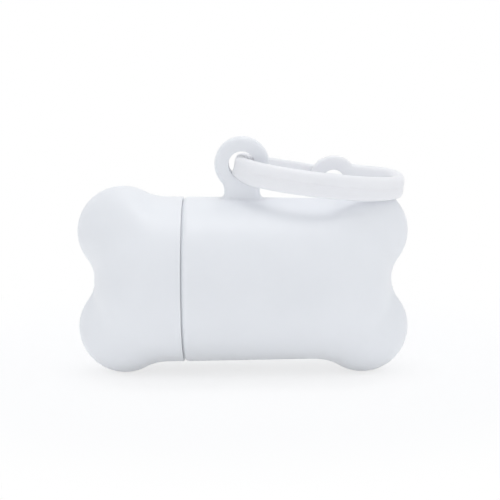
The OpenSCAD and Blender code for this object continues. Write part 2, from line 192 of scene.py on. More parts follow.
@dataclass(frozen=True)
class MouldedPolypropylene:
    """Injection-moulded polypropylene, pigmented white, from a finely eroded mould.

    The eroded steel leaves a very fine grain that gives a satin sheen, and the pigmented plastic
    lets a little light in, which softens the shading. Thin parts let more of it through.
    """

    name: str
    colour: str = "F5F7FA"
    roughness: float = 0.4
    grain_mm: float = 0.35
    grain_depth: float = 0.02
    sink_mm: float = 14.0
    sink_depth: float = 0.05
    speck_mm: float = 3.2
    speck_rarity: float = 0.965
    speck_dark: float = 0.22
    scatter_weight: float = 0.12
    scatter_mm: float = 1.2

    def build(self) -> bpy.types.Material:
        """Make the material.

        Returns:
            The finished material.
        """
        material, tree, place = new_material(self.name)
        # Cool white with a trace of tone where the melt cooled unevenly, and a few dark specks
        cloud = add_node(tree, "TexNoise", {"Scale": 1 / (self.sink_mm * MM), "Detail": 3.0}, Vector=place)
        tone = add_node(
            tree, "MapRange", {"From Min": 0.35, "From Max": 0.65, "To Min": 0.985, "To Max": 1.0},
            Value=cloud.outputs["Fac"],
        )
        cells = add_node(tree, "TexVoronoi", {"Scale": 1 / (self.speck_mm * MM)}, Vector=place)
        near = add_node(
            tree, "MapRange", {"From Min": 0.035, "From Max": 0.075, "To Min": 1.0, "To Max": 0.0},
            Value=cells.outputs["Distance"],
        )
        pick = add_node(tree, "SeparateColor", Color=cells.outputs["Color"])
        rare = add_node(tree, "Math", {"operation": "GREATER_THAN", 1: self.speck_rarity}, in0=pick.outputs[0])
        speck = add_node(tree, "Math", {"operation": "MULTIPLY"}, in0=near.outputs[0], in1=rare.outputs[0])
        grey = add_node(
            tree, "Math", {"operation": "MULTIPLY_ADD", 1: -self.speck_dark},
            in0=speck.outputs[0], in2=tone.outputs[0],
        ).outputs[0]
        tint = add_node(tree, "CombineColor", Red=grey, Green=grey, Blue=grey)
        paint = add_node(
            tree, "Mix", {"data_type": "RGBA", "blend_type": "MULTIPLY", 0: 1.0, 6: linear(self.colour)},
            in7=tint.outputs[0],
        )
        # Moulding grain, drawn as coarse as it needs to show, over long shallow sink marks
        grain = add_node(tree, "TexNoise", {"Scale": 1 / (self.grain_mm * MM), "Detail": 2.0}, Vector=place)
        fine = add_node(
            tree, "Bump", {"Strength": 0.25, "Distance": self.grain_depth * MM}, Height=grain.outputs["Fac"]
        )
        sink = add_node(
            tree, "Bump", {"Strength": 0.6, "Distance": self.sink_depth * MM},
            Height=cloud.outputs["Fac"], Normal=fine.outputs["Normal"],
        )
        rub = add_node(
            tree, "MapRange",
            {"From Min": 0.3, "From Max": 0.7, "To Min": self.roughness - 0.04, "To Max": self.roughness + 0.05},
            Value=grain.outputs["Fac"],
        )
        shader = add_node(
            tree, "BsdfPrincipled",
            {
                "IOR": 1.49,
                "Subsurface Weight": self.scatter_weight,
                "Subsurface Radius": (self.scatter_mm * MM,) * 3,
                "Subsurface Scale": 1.0,
            },
            Base_Color=paint.outputs[2], Roughness=rub.outputs[0], Normal=sink.outputs["Normal"],
        )
        add_node(tree, "OutputMaterial", Surface=shader.outputs[0])
        return material


@dataclass(frozen=True)
class BlownFilm:
    """Blown polyethylene film, wound tight: soft creases with painted shade in their hollows and painted light on
    their ridges, and it shines softly.
    """

    name: str = "blown_film"
    colour: str = "A9B4BF"
    crease_mm: float = 3.0
    crease_depth: float = 0.2
    scatter_mm: float = 0.8

    def build(self) -> bpy.types.Material:
        """Make the material.

        Returns:
            The finished material.
        """
        material, tree, place = new_material(self.name)
        creases = add_node(
            tree, "TexNoise", {"Scale": 1 / (self.crease_mm * MM), "Detail": 4.0, "Distortion": 0.6}, Vector=place
        ).outputs["Fac"]
        # Painted shade in the crease hollows and painted light on the crease ridges: the colour darkens and
        # lightens with the same noise that raises the crease bump
        tone = add_node(tree, "ValToRGB", Fac=creases)
        low, high = tone.color_ramp.elements
        low.position, low.color = 0.3, scaled(self.colour, 0.82, 0.82, 0.84)
        high.position, high.color = 0.75, scaled(self.colour, 1.08, 1.08, 1.08)
        bump = add_node(tree, "Bump", {"Strength": 0.5, "Distance": self.crease_depth * MM}, Height=creases)
        shader = add_node(
            tree, "BsdfPrincipled",
            {
                "Roughness": 0.36,
                "IOR": 1.5,
                "Subsurface Weight": 0.1,
                "Subsurface Radius": (self.scatter_mm * MM,) * 3,
            },
            Base_Color=tone.outputs["Color"], Normal=bump.outputs["Normal"],
        )
        add_node(tree, "OutputMaterial", Surface=shader.outputs[0])
        return material


@dataclass(frozen=True)
class WoundPaper:
    """Spiral-wound unbleached paper tube: matt, with visible fibres and strip seams."""

    name: str = "wound_paper"
    colour: str = "B4946C"
    fibre_mm: float = 0.6
    fibre_depth: float = 0.06
    strip_mm: float = 16.0

    def build(self) -> bpy.types.Material:
        """Make the material.

        Returns:
            The finished material.
        """
        material, tree, place = new_material(self.name)
        stretched = add_node(tree, "Mapping", {"Scale": (0.25, 1.0, 1.0)}, Vector=place)
        fibres = add_node(
            tree, "TexNoise", {"Scale": 1 / (self.fibre_mm * MM), "Detail": 6.0}, Vector=stretched.outputs[0]
        )
        strips = add_node(
            tree, "TexWave", {"Scale": 0.3 / (self.strip_mm * MM), "Distortion": 0.4}, Vector=place
        )
        both = add_node(
            tree, "Math", {"operation": "MULTIPLY_ADD", 1: 0.15},
            in0=strips.outputs["Fac"], in2=fibres.outputs["Fac"],
        ).outputs[0]
        tone = add_node(tree, "ValToRGB", Fac=both)
        low, high = tone.color_ramp.elements
        low.position, low.color = 0.3, scaled(self.colour, 0.7, 0.68, 0.64)
        high.position, high.color = 0.8, scaled(self.colour, 1.15, 1.15, 1.12)
        bump = add_node(tree, "Bump", {"Strength": 0.4, "Distance": self.fibre_depth * MM}, Height=both)
        shader = add_node(
            tree, "BsdfPrincipled", {"Roughness": 0.85, "IOR": 1.5},
            Base_Color=tone.outputs["Color"], Normal=bump.outputs["Normal"],
        )
        add_node(tree, "OutputMaterial", Surface=shader.outputs[0])
        return material


def add_object(name: str, data: bpy.types.ID) -> bpy.types.Object:
    """Put new data into the scene.

    Args:
        name: the object's name.
        data: its mesh, light or camera.

    Returns:
        The new object.
    """
    made = bpy.data.objects.new(name, data)
    bpy.context.scene.collection.objects.link(made)
    return made


class Loft:
    """Collects rings of points and the faces between them, and makes one mesh of it."""

    def __init__(self, turns: int) -> None:
        """Start an empty loft.

        Args:
            turns: how many points each ring has.
        """
        self.turns = turns
        self.points = np.zeros((0, 3))
        self.faces: list[tuple[int, ...]] = []

    def add(self, points: np.ndarray) -> int:
        """Add points, shape (n, 3), and return the number of the first of them."""
        self.points = np.concatenate([self.points, points])
        return len(self.points) - len(points)

    def strip(self, a: Sequence[int], b: Sequence[int], skip: range = NONE) -> None:
        """Join two closed rows of points by quads.

        Args:
            a: the points of one row.
            b: the points of the other, as many.
            skip: steps along the rows that stay open, counted from 0 and below it.
        """
        left_out = {j % len(a) for j in skip}
        for j in range(len(a)):
            if j not in left_out:
                k = (j + 1) % len(a)
                self.faces.append((a[j], a[k], b[k], b[j]))

    def chain(self, rings: Sequence[int], opened: Collection[int] = (), skip: range = NONE) -> None:
        """Join rings in order, each given by its first point.

        Args:
            rings: the rings.
            opened: those after which some steps stay open.
            skip: these steps.
        """
        for a, b in zip(rings, rings[1:]):
            self.strip(range(a, a + self.turns), range(b, b + self.turns), skip if a in opened else NONE)

    def fan(self, tip: np.ndarray, ring: int) -> None:
        """Close a ring to one point.

        Args:
            tip: the point, shape (1, 3).
            ring: first point of the ring.
        """
        centre = self.add(tip)
        self.faces += [(centre, ring + j, ring + (j + 1) % self.turns) for j in range(self.turns)]

    def close(self, *rings: int) -> None:
        """Close rings by one flat face each."""
        self.faces += [tuple(range(ring, ring + self.turns)) for ring in rings]

    def mesh(self, name: str) -> bpy.types.Object:
        """Make a smooth-shaded object, with its faces turned outwards.

        Args:
            name: the object's name.

        Returns:
            The new object, in metres.
        """
        mesh = bpy.data.meshes.new(name)
        mesh.from_pydata((self.points * MM).tolist(), [], self.faces)
        work = bmesh.new()
        work.from_mesh(mesh)
        bmesh.ops.recalc_face_normals(work, faces=work.faces)
        work.to_mesh(mesh)
        work.free()
        mesh.shade_smooth()
        mesh.set_sharp_from_angle(angle=SHARP_EDGE)
        return add_object(name, mesh)


def plate(
    name: str, outline: Callable[[float], np.ndarray], thickness: float, edge: float
) -> bpy.types.Object:
    """Make a flat solid across Y with rounded edges.

    Args:
        name: the object's name.
        outline: gives the outline's points [x, z], pulled in by a distance.
        thickness: its size along Y.
        edge: the radius that rounds its edges.

    Returns:
        The closed solid, with its middle plane at y = 0.
    """
    layers = [(edge * sink - thickness / 2, edge * ahead) for ahead, sink in rounded(6)]
    layers += [(-y, pull) for y, pull in layers[::-1]]
    loft = Loft(len(outline(0)))
    rings = [loft.add(np.insert(outline(pull), 1, y, axis=1)) for y, pull in layers]
    loft.chain(rings)
    loft.close(rings[0], rings[-1])
    return loft.mesh(name)


def apply_modifiers(piece: bpy.types.Object) -> None:
    """Replace an object's mesh with what its modifiers make of it.

    Args:
        piece: the object.
    """
    graph = bpy.context.evaluated_depsgraph_get()
    graph.update()
    made = bpy.data.meshes.new_from_object(piece.evaluated_get(graph), depsgraph=graph)
    old = piece.data
    piece.modifiers.clear()
    piece.data = made
    made.name = old.name
    bpy.data.meshes.remove(old)


def join_meshes(name: str, pieces: list[bpy.types.Object]) -> bpy.types.Object:
    """Put the meshes of several objects into one new object.

    Args:
        name: the new object's name.
        pieces: objects at the origin, which are removed.

    Returns:
        The new object.
    """
    work = bmesh.new()
    for piece in pieces:
        work.from_mesh(piece.data)
        old = piece.data
        bpy.data.objects.remove(piece)
        bpy.data.meshes.remove(old)
    mesh = bpy.data.meshes.new(name)
    work.to_mesh(mesh)
    work.free()
    return add_object(name, mesh)


def fuse(name: str, pieces: list[bpy.types.Object], voxel: float, smooth: int) -> bpy.types.Object:
    """Melt overlapping closed solids into one skin whose inner corners are rounded.

    Args:
        name: the new object's name.
        pieces: the solids, which are removed.
        voxel: grid size in millimetres.
        smooth: how many times the skin is smoothed, which rounds its corners.

    Returns:
        The fused object.
    """
    fused = join_meshes(name, pieces)
    remesh = fused.modifiers.new("melt", "REMESH")
    remesh.mode = "VOXEL"
    remesh.voxel_size = voxel * MM
    even = fused.modifiers.new("even", "SMOOTH")
    even.factor = 0.5
    even.iterations = smooth
    apply_modifiers(fused)
    fused.data.shade_smooth()
    return fused


def bore(piece: bpy.types.Object, centre: Vector, axis: Vector, radius: float, length: float) -> None:
    """Cut a round hole.

    Args:
        piece: the object to cut.
        centre: middle of the hole, in millimetres.
        axis: the hole's direction.
        radius: its radius in millimetres.
        length: its length in millimetres.
    """
    work = bmesh.new()
    turn = axis.to_track_quat("Z", "Y").to_matrix().to_4x4()
    bmesh.ops.create_cone(
        work, cap_ends=True, segments=72, radius1=radius * MM, radius2=radius * MM, depth=length * MM,
        matrix=Matrix.Translation(centre * MM) @ turn,
    )
    mesh = bpy.data.meshes.new("cutter")
    work.to_mesh(mesh)
    work.free()
    cutter = add_object("cutter", mesh)
    cut = piece.modifiers.new("bore", "BOOLEAN")
    cut.operation = "DIFFERENCE"
    cut.solver = "EXACT"
    cut.object = cutter
    apply_modifiers(piece)
    bpy.data.objects.remove(cutter)
    bpy.data.meshes.remove(mesh)


def read_points(piece: bpy.types.Object) -> tuple[np.ndarray, np.ndarray]:
    """Read an object's points.

    Args:
        piece: the object.

    Returns:
        The points in millimetres and their normals, each of shape (n, 3).
    """
    points = np.array([vertex.co[:] for vertex in piece.data.vertices])
    return points / MM, np.array([vertex.normal[:] for vertex in piece.data.vertices])


def write_points(piece: bpy.types.Object, points: np.ndarray) -> None:
    """Move an object's points to new places in millimetres, shape (n, 3)."""
    piece.data.vertices.foreach_set("co", (points * MM).ravel())
    piece.data.update()


def dress(piece: bpy.types.Object, finish: bpy.types.Material, body: Body, slot: Slot, node: str) -> None:
    """Give a piece its finish, its body and the CAD node that it stands for.

    Args:
        piece: the finished object.
        finish: its material.
        body: the body that it rides on.
        slot: the record's material slot; not used.
        node: the CAD node that it replaces.
    """
    piece.data.materials.clear()
    piece.data.materials.append(finish)
    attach(piece, body.value)
    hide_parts(node)
    LOG.info("%s: %d faces on %s", piece.name, len(piece.data.polygons), body.value)


@dataclass
class BoneForm:
    """The bone's outline and how its ends pass from two lobes into a round barrel."""

    length: float = 84.8
    height: float = 48.4
    lobe_r: float = 11.7
    valley_depth: float = 4.2
    shoulder_r: float = 10.5
    barrel_r: float = 21.2
    barrel_draft: float = 0.9
    end_fullness: float = 2.3
    lobe_focus: float = 6.0
    wall: float = 2.2
    seam_offset: float = 15.0
    seam_gap: float = 0.35
    turns: int = 192
    valley_steps: int = 14
    lobe_steps: int = 56
    shoulder_steps: int = 16
    soft_rings: int = 14
    soft_times: int = 24

    def __post_init__(self) -> None:
        """Work out what follows from the driving sizes."""
        self.axis_z = self.height / 2
        self.lobe_x = self.length / 2 - self.lobe_r
        self.lobe_z = self.height / 2 - self.lobe_r
        self.pole_x = self.length / 2 - self.valley_depth
        deep = self.pole_x - self.lobe_x
        self.valley_r = (deep**2 + self.lobe_z**2 - self.lobe_r**2) / (2 * (self.lobe_r - deep))
        self.valley_cx = self.pole_x + self.valley_r
        self.valley_turn = math.atan2(self.lobe_z, self.valley_cx - self.lobe_x)
        self.rim_x = -self.seam_offset + self.seam_gap / 2
        self.cap_rim = self.seam_offset + self.seam_gap / 2
        self.barrel_stop = self.lobe_x - self.shoulder_run(self.barrel_r)
        self.slope = math.tan(math.radians(self.barrel_draft))
        self.barrel_end = self.barrel_r - self.slope * (self.barrel_stop - self.rim_x)
        self.angles = 2 * math.pi * np.arange(self.turns) / self.turns

    def shoulder_rise(self, barrel: float) -> float:
        """Height from a lobe's centre to the shoulder's centre, for a barrel of that radius."""
        return barrel + self.shoulder_r - self.lobe_z

    def shoulder_run(self, barrel: float) -> float:
        """Run from a lobe's centre back to the shoulder's centre."""
        return math.sqrt((self.lobe_r + self.shoulder_r) ** 2 - self.shoulder_rise(barrel) ** 2)

    def lobe_top(self, barrel: float) -> float:
        """Angle at which the lobe meets the shoulder."""
        return math.atan2(self.shoulder_rise(barrel), -self.shoulder_run(barrel))

    def lobe_line(self, barrel: float, inset: float) -> np.ndarray:
        """Outline through the lobes from the pole to the barrel.

        Args:
            barrel: radius where it ends.
            inset: how far it lies inside the outer skin.

        Returns:
            Points [x, r], shape (n, 2).
        """
        top = self.lobe_top(barrel)
        a = self.valley_turn * np.arange(self.valley_steps + 1) / self.valley_steps
        r = self.valley_r + inset
        valley = np.stack([self.valley_cx - r * np.cos(a), r * np.sin(a)], 1)
        a = mix(-self.valley_turn, top, np.arange(1, self.lobe_steps + 1) / self.lobe_steps)
        r = self.lobe_r - inset
        lobe = np.stack([self.lobe_x + r * np.cos(a), self.lobe_z + r * np.sin(a)], 1)
        a = mix(top - math.pi, -math.pi / 2, np.arange(1, self.shoulder_steps + 1) / self.shoulder_steps)
        r = self.shoulder_r + inset
        start = self.lobe_x - self.shoulder_run(barrel)
        shoulder = np.stack([start + r * np.cos(a), barrel + self.shoulder_r + r * np.sin(a)], 1)
        return np.concatenate([valley, lobe, shoulder])

    def shares(self, barrel: float) -> np.ndarray:
        """Find how far along that outline each of its points lies.

        Args:
            barrel: radius where it ends.

        Returns:
            Shares of its length, from 0 to 1.
        """
        valley = self.valley_r * self.valley_turn
        lobe = self.lobe_r * (self.valley_turn + self.lobe_top(barrel))
        shoulder = self.shoulder_r * (self.lobe_top(barrel) - math.pi / 2)
        steps = [
            valley * np.arange(self.valley_steps + 1) / self.valley_steps,
            valley + lobe * np.arange(1, self.lobe_steps + 1) / self.lobe_steps,
            valley + lobe + shoulder * np.arange(1, self.shoulder_steps + 1) / self.shoulder_steps,
        ]
        return np.concatenate(steps) / (valley + lobe + shoulder)

    def side_line(self, barrel: float, inset: float) -> np.ndarray:
        """Outline of the same end seen from above: a rounded dome from the pole to the barrel.

        Args:
            barrel: radius where it ends.
            inset: how far it lies inside the outer skin.

        Returns:
            Points [x, r], as many as lobe_line has.
        """
        start = self.lobe_x - self.shoulder_run(barrel)
        k = self.shares(barrel) * math.pi / 2
        power = 2 / self.end_fullness
        x = start + (self.pole_x - inset - start) * np.maximum(np.cos(k), 0) ** power
        return np.stack([x, (barrel - inset) * np.sin(k) ** power], 1)

    def end_rings(self, barrel: float, inset: float, most: float = math.inf) -> list[np.ndarray]:
        """Rings of one closed end from near the pole to the barrel, about the bone's own axis.

        Args:
            barrel: the barrel's radius.
            inset: how far they lie inside the outer skin.
            most: the largest radius.

        Returns:
            Rings of shape (turns, 3).
        """
        weight = np.abs(np.sin(self.angles)) ** self.lobe_focus
        rings = []
        for lobe, side in zip(self.lobe_line(barrel, inset)[1:], self.side_line(barrel, inset)[1:]):
            x, r = mix(side[0], lobe[0], weight), np.minimum(mix(side[1], lobe[1], weight), most)
            rings.append(np.stack([x, r * np.cos(self.angles), r * np.sin(self.angles)], 1))
        return rings

    def round_ring(self, x: float, r: float | np.ndarray) -> np.ndarray:
        """A round ring at x, about the bone's own axis."""
        r = np.broadcast_to(r, self.angles.shape)
        return np.stack([np.full(self.turns, x), r * np.cos(self.angles), r * np.sin(self.angles)], 1)

    def soften(self, rings: list[np.ndarray], first: int, last: int) -> list[np.ndarray]:
        """Even out a run of rings, so that no line shows where the barrel passes into the lobes.

        Args:
            rings: the rings in order.
            first: the first ring that moves.
            last: the last ring that moves.

        Returns:
            The rings with that run evened out.
        """
        stack = np.array(rings)
        for _ in range(self.soft_times):
            between = (stack[first - 1 : last] + stack[first + 1 : last + 2]) / 2
            stack[first : last + 1] = (stack[first : last + 1] + between) / 2
        return list(stack)

    def skin(self, rings: list[np.ndarray], side: int) -> tuple[Loft, list[int]]:
        """Start a shell's loft and close both ends of its rings.

        Args:
            rings: from the outer pole over the rim to the inner pole.
            side: 1 for the main shell and -1 for the cap, which is mirrored.

        Returns:
            The loft and the first points of its rings, which aren't joined yet.
        """
        loft = Loft(self.turns)
        place, lift = np.array([side, 1, 1]), np.array([0, 0, self.axis_z])
        made = [loft.add((ring + lift) * place) for ring in rings]
        for inset, ring in ((0, made[0]), (self.wall, made[-1])):
            loft.fan((np.array([[self.pole_x - inset, 0, 0]]) + lift) * place, ring)
        return loft, made


@dataclass
class Thread:
    """A coarse round-bottomed screw thread, cut into a wall so that the fit outside it stays."""

    pitch: float = 3.0
    depth: float = 0.45
    width: float = 0.55
    flank: float = 1.8
    fade: float = 1.2
    step: float = 0.15

    def cut(self, x: float, start: float, end: float, angles: np.ndarray) -> np.ndarray:
        """Depth of the groove round one ring.

        Args:
            x: the ring's place.
            start: where the thread starts.
            end: where it ends.
            angles: the ring's angles.

        Returns:
            Depth for each angle, in millimetres.
        """
        phase = np.mod(x / self.pitch - angles / (2 * math.pi), 1.0)
        groove = ease((self.width - np.abs(phase - 0.5) * 2) / self.width * self.flank)
        return self.depth * groove * ease((x - start) / self.fade) * ease((end - x) / self.fade)


@dataclass
class BagSlot:
    """The slot in the back that a bag is pulled through."""

    x: float = 2.5
    length: float = 28.0
    width: float = 5.0
    lip: float = 0.5
    margin: float = 2.4
    rows: int = 5
    lip_rows: int = 5

    def outline(self, place: np.ndarray, out: float) -> np.ndarray:
        """Nearest points of the slot's outline.

        Args:
            place: points [x, z].
            out: how far the outline lies outside the slot's wall.

        Returns:
            Points [x, z] on the outline.
        """
        half = (self.length - self.width) / 2
        middle = np.clip(place[:, 0], self.x - half, self.x + half)
        away = np.stack([place[:, 0] - middle, place[:, 1]], 1)
        away /= np.linalg.norm(away, axis=1, keepdims=True)
        return np.stack([middle, np.zeros_like(middle)], 1) + (self.width / 2 + out) * away


@dataclass
class Lug:
    """The eye on top of the barrel."""

    r: float = 7.0
    hole_r: float = 3.4
    thickness: float = 4.2
    height: float = 29.9
    foot: float = 9.1
    edge: float = 1.2
    hollow_r: float = 3.0
    flare_r: float = 2.0
    flare_end: float = 265.0
    foot_sink: float = 0.65
    fillet: float = 0.5
    fillet_below: float = 0.4
    fillet_lean: float = 1.5
    voxel: float = 0.16

    @staticmethod
    def arc(x: float, z: float, r: float, angles: np.ndarray, side: int) -> np.ndarray:
        """Points of an arc.

        Args:
            x: its centre's place.
            z: its centre's height.
            r: its radius.
            angles: the points' angles.
            side: 1 where the lug lies inside the arc and -1 where it lies outside.

        Returns:
            Rows [x, z, normal x, normal z].
        """
        out = np.stack([np.cos(angles), np.sin(angles)], 1)
        return np.hstack([np.array([x, z]) + r * out, side * out])

    def outline(self, barrel: float) -> np.ndarray:
        """The lug's outline with its normals, from the top down one side and up the other.

        Args:
            barrel: the barrel's radius.

        Returns:
            Rows [x, z, normal x, normal z] about the hole's centre.
        """
        out = self.foot / 2 + self.hollow_r
        down = math.sqrt((self.r + self.hollow_r) ** 2 - out**2)
        turn = math.atan2(down, out)
        foot = self.foot / 2 + self.flare_r
        base = barrel - self.height - self.foot_sink
        flare = np.linspace(math.pi, math.radians(self.flare_end), 12)
        right = [
            self.arc(0, 0, self.r, np.linspace(math.pi / 2, -turn, 40), 1),
            self.arc(out, -down, self.hollow_r, np.linspace(math.pi - turn, math.pi, 12)[1:], -1),
            self.arc(foot, base + self.flare_r, self.flare_r, flare, -1),
            np.array([[foot, base - self.edge - self.foot_sink, 1, 0]]),
        ]
        right = np.concatenate(right)
        return np.concatenate([right, right[:0:-1] * np.array([-1, 1, -1, 1])])

    def build(self, form: BoneForm) -> bpy.types.Object:
        """Make the lug with its hole, and a fillet where it meets the barrel.

        Args:
            form: the bone that it stands on.

        Returns:
            The lug in its place.
        """
        rows = self.outline(form.barrel_r)
        lug = plate("lug", lambda pull: rows[:, :2] - pull * rows[:, 2:], self.thickness, self.edge)
        lug = fuse("lug", [lug], self.voxel, 3)
        bore(lug, Vector((0, 0, 0)), Vector((0, 1, 0)), self.hole_r, self.thickness * 2)
        lug = fuse("lug", [lug], self.voxel, 3)
        lug.data.transform(Matrix.Translation((0, 0, (form.axis_z + self.height) * MM)))
        points, normals = read_points(lug)
        barrel = form.barrel_r - form.slope * (points[:, 0] - form.rim_x)
        above = np.hypot(points[:, 1], points[:, 2] - form.axis_z) - barrel
        level = np.linalg.norm(normals[:, :2], axis=1, keepdims=True)
        low = self.fillet - np.clip(above, 0, self.fillet)
        push = (self.fillet - np.sqrt(self.fillet**2 - low**2)) * (above > -self.fillet_below)
        lean = np.clip(level * self.fillet_lean, 0, 1)
        points[:, :2] += normals[:, :2] / np.maximum(level, 1e-6) * lean * push[:, None]
        write_points(lug, points)
        return lug


@dataclass
class MainShell:
    """The right two thirds of the bone, with its neck, bag slot and lug."""

    form: BoneForm
    thread: Thread
    slot: BagSlot = field(default_factory=BagSlot)
    lug: Lug = field(default_factory=Lug)
    rim_r: float = 0.7
    rim_run: float = 1.4
    groove_depth: float = 0.85
    groove_width: float = 0.26
    neck_length: float = 9.0
    cap_skirt: float = 1.6
    neck_clearance: float = 0.1
    neck_wall: float = 1.3
    lead_in: float = 0.35
    inner_lead_in: float = 0.245
    thread_gap: float = 0.3
    thread_margin: float = 0.6
    bore_margin: float = 0.15
    bore_gap: float = 0.8
    barrel_step: float = 1.3
    window_gap: float = 0.2
    soft_lines: int = 4

    def __post_init__(self) -> None:
        """Work out the neck and the window in both skins that the slot is set into."""
        form, slot = self.form, self.slot
        self.neck_r = form.barrel_r - self.cap_skirt - self.neck_clearance
        self.bore_r = self.neck_r - self.neck_wall
        self.neck_end = form.rim_x - self.neck_length
        reach = slot.length / 2 + slot.margin
        low = max(slot.x - reach, form.rim_x + self.rim_run + self.window_gap)
        high = min(slot.x + reach, form.barrel_stop - self.window_gap)
        self.lines = np.linspace(low, high, round((high - low) / self.barrel_step) + 1)
        turn = math.asin((slot.width / 2 + slot.margin) / self.bore_r)
        self.span = math.ceil(turn / (2 * math.pi) * form.turns)

    def barrel_radius(self, x: float | np.ndarray) -> float | np.ndarray:
        """Radius of the tapered barrel at x."""
        form = self.form
        return mix(form.barrel_r, form.barrel_end, (x - form.rim_x) / (form.barrel_stop - form.rim_x))

    def neck(self) -> list[np.ndarray]:
        """Rings from the rounded rim over the seam's floor and the threaded neck into the bore.

        Returns:
            The rings in order.
        """
        form, thread = self.form, self.thread
        rows = [
            (form.rim_x + self.rim_run * ahead, form.barrel_r - self.rim_r * sink)
            for ahead, sink in rounded(12)
        ]
        floor, step = form.barrel_r - self.groove_depth, form.rim_x - self.groove_width
        rows += [(form.rim_x, floor), (step, floor), (step, self.neck_r)]
        start, stop = self.neck_end + self.thread_margin, form.rim_x - self.thread_margin
        for x in np.arange(form.rim_x - self.thread_gap, self.neck_end + self.lead_in, -thread.step):
            rows.append((x, self.neck_r - thread.cut(x, start, stop, form.angles)))
        end, edge = self.neck_end, self.lead_in
        rows += [(end + edge * ahead, self.neck_r - edge * sink) for ahead, sink in rounded(5)]
        edge = self.inner_lead_in
        rows += [(end + edge * ahead, self.bore_r + edge * sink) for ahead, sink in rounded(4)[::-1]]
        rows += [(x, self.bore_r) for x in np.linspace(end + 1, self.lines[0] - self.bore_gap, 8)]
        return [form.round_ring(x, r) for x, r in rows]

    def build(self, finish: bpy.types.Material) -> bpy.types.Object:
        """Make the shell.

        Args:
            finish: its material.

        Returns:
            The finished piece.
        """
        form = self.form
        end = form.end_rings(form.barrel_end, 0)
        outside = end + [form.round_ring(x, self.barrel_radius(x)) for x in self.lines[::-1]]
        front = form.soften(outside, len(end) - form.soft_rings, len(end) + self.soft_lines) + self.neck()
        bored = [form.round_ring(x, self.bore_r) for x in self.lines]
        hollow = form.end_rings(form.barrel_end, form.wall, self.bore_r - self.bore_margin)[::-1]
        loft, rings = form.skin(front + bored + hollow, 1)
        outer, inner = rings[len(end) : len(outside)], rings[len(front) : len(front) + len(bored)]
        loft.chain(rings, {*outer[:-1], *inner[:-1]}, range(-self.span, self.span))
        wall = [self.surround(loft, outer[::-1], True), self.surround(loft, inner, False)]
        loft.strip(*wall)
        shell = join_meshes("main_shell_moulding", [loft.mesh("skin"), self.lug.build(form)])
        shell.data.shade_smooth()
        shell.data.set_sharp_from_angle(angle=SHARP_EDGE)
        dress(shell, finish, Body.SHELL, Slot.SHELL, "main_shell")
        return shell

    def surround(self, loft: Loft, rings: list[int], outside: bool) -> list[int]:
        """Fill one skin's window from its border to the slot's wall.

        Args:
            loft: the shell's loft.
            rings: first points of the rings across the window, from low x to high.
            outside: whether it is the outer skin.

        Returns:
            The last row of points, in the slot's wall.
        """
        form, slot, span = self.form, self.slot, self.span
        row = [ring + -span % form.turns for ring in rings]
        row += [rings[-1] + j % form.turns for j in range(1 - span, span)]
        row += [ring + span for ring in rings[::-1]]
        row += [rings[0] + j % form.turns for j in range(span - 1, -span, -1)]
        at = loft.points[row][:, [0, 2]] - np.array([0, form.axis_z])
        edge = slot.outline(at, slot.lip)
        layers = [(mix(at, edge, i / slot.rows), 0.0) for i in range(1, slot.rows + 1)]
        for ahead, sink in rounded(slot.lip_rows + 1)[1:]:
            layers.append((slot.outline(at, slot.lip * ahead), slot.lip * sink))
        for place, sink in layers:
            r = self.barrel_radius(place[:, 0]) if outside else self.bore_r
            y = np.sqrt(r**2 - place[:, 1] ** 2) + (-sink if outside else sink)
            first = loft.add(np.stack([place[:, 0], y, place[:, 1] + form.axis_z], 1))
            last = list(range(first, first + len(row)))
            loft.strip(row, last)
            row = last
        return row


@dataclass
class CapShell:
    """The left third of the bone, which unscrews."""

    form: BoneForm
    thread: Thread
    skirt: float = 1.6
    neck_length: float = 9.0
    end_gap: float = 0.3
    shelf: float = 0.15
    edge: float = 0.15
    mouth: float = 0.3
    barrel_gap: float = 0.8
    thread_lead: float = 0.5
    thread_end: float = 0.1
    thread_start: float = 0.6
    thread_stop: float = 0.4

    def build(self, finish: bpy.types.Material) -> bpy.types.Object:
        """Make the cap.

        Args:
            finish: its material.

        Returns:
            The finished piece.
        """
        form, rim, edge = self.form, self.form.cap_rim, self.edge
        bore_r = form.barrel_r - self.skirt
        stop = self.neck_length + self.end_gap - form.rim_x
        end = form.end_rings(form.barrel_r, 0)
        barrel = np.linspace(form.barrel_stop - self.barrel_gap, rim + edge, 5)
        outside = end + [form.round_ring(x, form.barrel_r) for x in barrel]
        rings = form.soften(outside, len(end) - form.soft_rings, len(outside) - 2)
        rows = [(rim + edge * ahead, form.barrel_r - edge * sink) for ahead, sink in rounded(4)[1:]]
        rows += [(rim, bore_r + self.mouth), (rim + self.mouth, bore_r)]
        for x in np.arange(rim + self.thread_lead, stop - self.thread_end, self.thread.step):
            cut = self.thread.cut(-x, self.thread_stop - stop, -rim - self.thread_start, form.angles)
            rows.append((x, bore_r + cut))
        rings += [form.round_ring(x, r) for x, r in [*rows, (stop, bore_r)]]
        hollow = form.end_rings(form.barrel_r, form.wall, bore_r - self.shelf)[::-1]
        loft, made = form.skin(rings + [ring for ring in hollow if ring[:, 0].min() > stop], -1)
        loft.chain(made)
        cap = loft.mesh("cap_moulding")
        dress(cap, finish, Body.CAP, Slot.SHELL, "cap_shell")
        return cap


class Station(NamedTuple):
    """One cross-section of a band: its place, direction and size, and the radii of its edges."""

    u: float
    v: float
    facing: float
    thickness: float
    top: float
    bottom: float
    edge: float
    crown: float

    def section(self, steps: int = 7) -> np.ndarray:
        """The rounded cross-section.

        Args:
            steps: faces on each rounded edge.

        Returns:
            Points [across, up], once round.
        """
        crown = min(self.crown, self.thickness / 2 - 0.02)
        rows = []
        for side, up, start in ((1, 1, 0), (-1, 1, 90), (-1, -1, 180), (1, -1, 270)):
            r, level = (crown, self.top - crown) if up > 0 else (self.edge, self.bottom + self.edge)
            for i in range(steps + 1):
                a = math.radians(start + 90 * i / steps)
                rows.append([side * (self.thickness / 2 - r) + r * math.cos(a), level + r * math.sin(a)])
        return np.array(rows)


